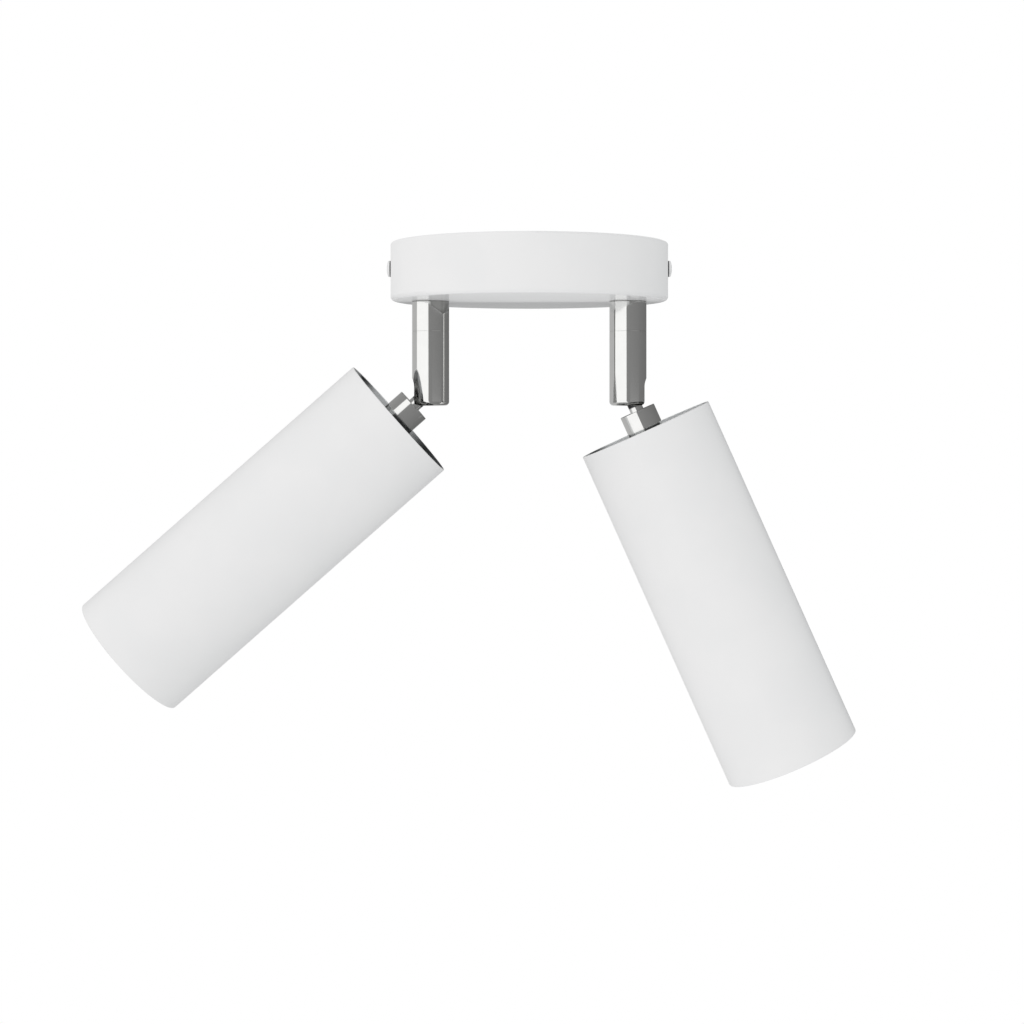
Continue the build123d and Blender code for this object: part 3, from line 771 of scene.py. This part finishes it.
def rolled_thread(start, end, radius):
    """Outline of a round rolled thread that fades into a plain rim at both ends."""
    count = round((end - start) / rolled_pitch * rolled_rings)

    def ring(reach):
        fade = min(1, (reach - start) / rolled_run_out, (end - reach) / rolled_run_out)

        def wide(angle):
            wave = 0.5 - 0.5 * math.cos(math.tau * reach / rolled_pitch - angle)
            return radius - rolled_depth * fade * wave

        return reach, wide

    return [ring(start + (end - start) * step / count) for step in range(count + 1)]


core_ceramic = new_finish("glazed_core", glazed_core)
for side in lamp_axes:
    dress(black_plastic, "holder_cap_" + side, "holder_sleeve_" + side)
    dress(core_ceramic, "holder_core_" + side)
    dress(brass, "centre_contact_" + side)
    seat, axis = lamp_pivots[side], lamp_axes[side]
    shell_start, shell_end, shell_outer = measure("screw_shell_" + side, seat, axis)
    shell = bmesh.new()
    shell_skin = rolled_thread(shell_start, shell_end, shell_outer)
    shell_lining = rolled_thread(shell_start, shell_end, shell_outer - shell_wall)
    turned(shell, seat, axis, shell_skin + shell_lining[::-1] + shell_skin[:1])
    new_piece("rolled_shell_" + side, shell, [brass], "head_" + side, ["screw_shell_" + side])

# Bulb: a round globe of opal glass, cemented into a nickel plated cap with a rolled thread.
# The cap screws into the lampholder's shell. A black ring insulates the contact at its tip.
opal_colour = (0.88, 0.88, 0.86, 1)
opal_thin = (0.80, 0.80, 0.77, 1)
opal_cloud_scale = 55.0
opal_cloud_edges = (0.3, 0.75)
opal_roughness = (0.16, 0.22)
opal_glow = 0.4
opal_glow_radius = (0.004, 0.004, 0.0038)
opal_gloss = 0.6
opal_wave_scale = 90.0
opal_wave_depth = 0.00002
nickel_colour = (0.70, 0.69, 0.66, 1)
nickel_worn = (0.60, 0.59, 0.56, 1)
nickel_cloud_scale = 600.0
nickel_cloud_edges = (0.3, 0.7)
nickel_roughness = (0.2, 0.34)
nickel_grain_scale = 3000.0
nickel_grain_depth = 0.000003
cap_thread_radius = 0.0069
cap_tip_radius = 0.0023
cap_tip_flat = 0.00161
cap_tip_round = 0.00045
cap_tip_height = 0.0015
cap_cone_radius = 0.006
cap_cone_height = 0.004
cap_skirt_length = 0.003
cap_skirt_edge = 0.0008


def nickel_plate(place):
    cloud = place.noise(nickel_cloud_scale, detail=3.0)
    return {
        "Base Color": cloud.step(*nickel_cloud_edges).blend(nickel_colour, nickel_worn),
        "Metallic": 1.0,
        "Roughness": cloud.span(*nickel_roughness),
        "Normal": place.noise(nickel_grain_scale).bump(nickel_grain_depth),
    }


def opal_glass(place):
    cloud = place.noise(opal_cloud_scale, detail=3.0)
    return {
        "Base Color": cloud.step(*opal_cloud_edges).blend(opal_colour, opal_thin),
        "Roughness": cloud.span(*opal_roughness),
        "Subsurface Weight": opal_glow,
        "Subsurface Radius": opal_glow_radius,
        "Coat Weight": opal_gloss,
        "Normal": place.noise(opal_wave_scale).bump(opal_wave_depth),
    }


nickel = new_finish("nickel_plate", nickel_plate)
opal = new_finish("opal_glass", opal_glass)
cap_finishes = [nickel, zinc, black_plastic]
for side in lamp_axes:
    dress(opal, "bulb_globe_" + side)
    seat, axis = lamp_pivots[side], lamp_axes[side]
    cap_node = "bulb_cap_" + side
    tip, cap_end, skirt_radius = measure(cap_node, seat, axis)
    cap_outline = [
        (tip, 0),
        (tip, cap_tip_flat),
        (tip + cap_tip_round, cap_tip_radius),
        (tip + cap_tip_height, cap_tip_radius),
        (tip + cap_cone_height, cap_cone_radius),
    ]
    cap_outline += rolled_thread(tip + cap_cone_height, cap_end - cap_skirt_length, cap_thread_radius)
    cap_outline += [(cap_end - cap_skirt_edge, skirt_radius), (cap_end, skirt_radius), (cap_end, 0)]
    cap = bmesh.new()
    turned(cap, seat, axis, cap_outline)
    for face in cap.faces:
        reach = (face.calc_center_median() - seat).dot(axis)
        if reach < tip + cap_tip_height:
            face.material_index = cap_finishes.index(zinc)
        elif reach < tip + cap_cone_height:
            face.material_index = cap_finishes.index(black_plastic)
    new_piece("threaded_cap_" + side, cap, cap_finishes, "head_" + side, [cap_node])

# Shade tubes: drawn aluminium tubes, open at both ends, powder coated white outside.
# The bore is dark bare metal. Inside the upper rim, pale painted light lies on a part of its back
# and on a part of its front, as patches where light falls in.
bore_edge = 0.02895
bore_blur = 0.0001
bore_colour = (0.15, 0.155, 0.16, 1)
bore_shade = (0.11, 0.115, 0.12, 1)
bore_roughness = (0.30, 0.36)
drawn_scale = 700.0
drawn_edges = (0.35, 0.7)
painted_light_colour = (0.94, 0.96, 0.97, 1)
light_patch_left = (0.0155, 0.0245)
light_patch_right = {"left": (-0.017, 0.000), "right": (-0.040, -0.036)}
light_patch_back = (0.0, 0.012)
light_patch_corner = (0.0245, 0.0275)
light_patch_corner_share = 0.65
light_patch_depth = (0.021, 0.028)
light_lip_front = (-0.012, -0.004)
light_lip_left = {"left": (0.014, 0.019), "right": (0.002, 0.008)}
light_lip_depth = (0.0235, 0.0265)


def coated_tube(side):
    """Sockets of the white coat outside one tube and of the bare metal with painted light inside it."""
    pivot, axis = lamp_pivots[side], lamp_axes[side]

    def describe(place):
        coat = powder_coat(place, coat_gloss)
        bare = 1 - place.from_axis(pivot, axis).past(bore_edge, bore_blur)
        drawn = place.noise(drawn_scale, detail=3.0)
        metal = drawn.step(*drawn_edges).blend(bore_colour, bore_shade)
        offset = place.vector("SUBTRACT", tuple(pivot))
        leftwards = offset.along((axis.z, 0, -axis.x))
        backwards = offset.along((0, 1, 0))
        depth = offset.along(axis)
        # Painted light: pale patches inside the upper rim, on a part of the back and a part of the front.
        light_patch = (1 - leftwards.step(*light_patch_left)) * leftwards.step(*light_patch_right[side])
        light_patch = light_patch * backwards.step(*light_patch_back) + light_patch_corner_share * leftwards.step(*light_patch_corner)
        light_patch = light_patch * (1 - depth.step(*light_patch_depth))
        light_lip = (1 - backwards.step(*light_lip_front)) * leftwards.step(*light_lip_left[side])
        light_lip = light_lip * (1 - depth.step(*light_lip_depth))
        painted_light = light_patch.math("MAXIMUM", light_patch, light_lip)
        return {
            "Base Color": bare.blend(coat["Base Color"], painted_light.blend(metal, painted_light_colour)),
            "Metallic": bare * (1 - painted_light),
            "Roughness": bare.span(coat["Roughness"], drawn.span(*bore_roughness)),
            "Specular IOR Level": coat["Specular IOR Level"],
            "Coat Weight": coat["Coat Weight"] * (1 - bare),
            "Coat Roughness": coat["Coat Roughness"],
            "Coat IOR": coat["Coat IOR"],
            "Normal": coat["Normal"],
        }

    return describe


for side in lamp_axes:
    dress(new_finish("coated_tube_" + side, coated_tube(side)), "shade_tube_" + side)

# Studio: a white floor at room height below the lamp, soft light from all round that is
# stronger from the left, and a tall white panel at the left that polished metal mirrors.
floor_level = -2.4
floor_reach = 30.0
floor_ends = (-floor_reach, floor_reach)
floor_mesh = bpy.data.meshes.new("floor")
floor_corners = [(x, y, floor_level) for x in floor_ends for y in floor_ends]
floor_mesh.from_pydata(floor_corners, [], [(0, 2, 3, 1)])
floor = bpy.data.objects.new("floor", floor_mesh)
bpy.context.scene.collection.objects.link(floor)
white_floor = bpy.data.materials.new("white_floor")
white_floor.use_nodes = True
white_floor.node_tree.nodes.clear()
floor_light = Wire(white_floor.node_tree).node("Emission", None, {"Color": (1, 1, 1, 1), "Strength": 1.0})
floor_light.node("OutputMaterial", None, {"Surface": floor_light})
floor_mesh.materials.append(white_floor)
floor.visible_diffuse = False
floor.visible_glossy = False
floor.visible_shadow = False

backdrop_white = (1, 1, 1, 1)
lit_colour = (1.085, 1.08, 1.08, 1)
unlit_colour = (0.565, 0.58, 0.585, 1)
light_from = Vector((-0.60, -0.79, 0.14))
side_lift = 0.09
panel_left = math.radians(-93)
panel_right = math.radians(-11)
panel_lean = 0.31
panel_bottom = math.radians(-26)
panel_top = math.radians(39)
panel_soft = math.radians(0.7)
panel_level = 1.03
front_level = 0.228
front_fall = 0.028
back_left_level = 0.47
back_left_top = math.radians(18)
table_edge = math.radians(-3.39)
table_end = math.radians(0.3)
table_soft = math.radians(0.02)
table_back = math.radians(165)
table_level = 0.66
gap_level = 0.38
glow_left = math.radians(12)
glow_right = math.radians(70)
glow_bottom = math.radians(-6)
glow_level = 0.48
studio = bpy.data.worlds.new("studio")
bpy.context.scene.world = studio
studio.use_nodes = True
studio.node_tree.nodes.clear()
sky = Wire(studio.node_tree).node("TexCoord", output="Generated")
bearing = sky.math("ARCTAN2", sky.along((1, 0, 0)), sky.along((0, -1, 0)))
height = sky.math("ARCSINE", sky.along((0, 0, 1)))
behind_left = 1 - bearing.past(panel_left, panel_soft)
low_left = behind_left * (1 - height.past(back_left_top, panel_soft))
panel = (
    (1 - behind_left)
    * (1 - (bearing + panel_lean * height).past(panel_right, panel_soft))
    * height.past(panel_bottom, panel_soft)
    * (1 - height.past(panel_top, panel_soft))
)
glow = (
    bearing.past(glow_left, panel_soft)
    * (1 - bearing.past(glow_right, panel_soft))
    * height.past(glow_bottom, panel_soft)
    * (1 - height.past(table_end, table_soft))
)
behind = bearing.math("ABSOLUTE", bearing).past(table_back, panel_soft)
table = behind * (1 - height.past(table_edge, table_soft))
gap = behind * (1 - height.past(table_end, table_soft)) - table
mirrored = front_level - front_fall * bearing
mirrored = low_left.span(mirrored, back_left_level)
mirrored = panel.span(mirrored, panel_level)
mirrored = glow.span(mirrored, glow_level)
mirrored = table.span(mirrored, table_level)
mirrored = gap.span(mirrored, gap_level)
rightwards = sky.along((1, 0, 0))
facing = 0.5 + 0.5 * sky.along(light_from) + side_lift * rightwards * rightwards
soft = facing.blend(unlit_colour, lit_colour)
seen_by_camera = sky.node("LightPath", output="Is Camera Ray")
seen_in_gloss = sky.node("LightPath", output="Is Glossy Ray")
lit = seen_in_gloss.blend(soft, mirrored)
shown = seen_by_camera.blend(lit, backdrop_white)
backdrop = sky.node("Background", None, {"Color": shown, "Strength": 1.0})
sky.node("OutputWorld", None, {"Surface": backdrop})
bpy.context.scene.view_settings.view_transform = "Standard"

# Camera: level, a little below the stems and about 0.9 m in front of them, where the photograph
# was taken. Its focal length and shift come from outlines fitted in the photograph, in pixels.
photo_pixels = 1024
focal_pixels = 2121.9
centre_pixel = (519.84, 427.68)
camera_place = (-0.0041, -0.9196, -0.0798)
camera_data = bpy.data.cameras.new("camera")
camera = bpy.data.objects.new("camera", camera_data)
bpy.context.scene.collection.objects.link(camera)
bpy.context.scene.camera = camera
camera_data.lens = camera_data.sensor_width * focal_pixels / photo_pixels
camera_data.shift_x = (photo_pixels / 2 - centre_pixel[0]) / photo_pixels
camera_data.shift_y = (centre_pixel[1] - photo_pixels / 2) / photo_pixels
camera.location = camera_place
camera.rotation_euler = (math.pi / 2, 0, 0)
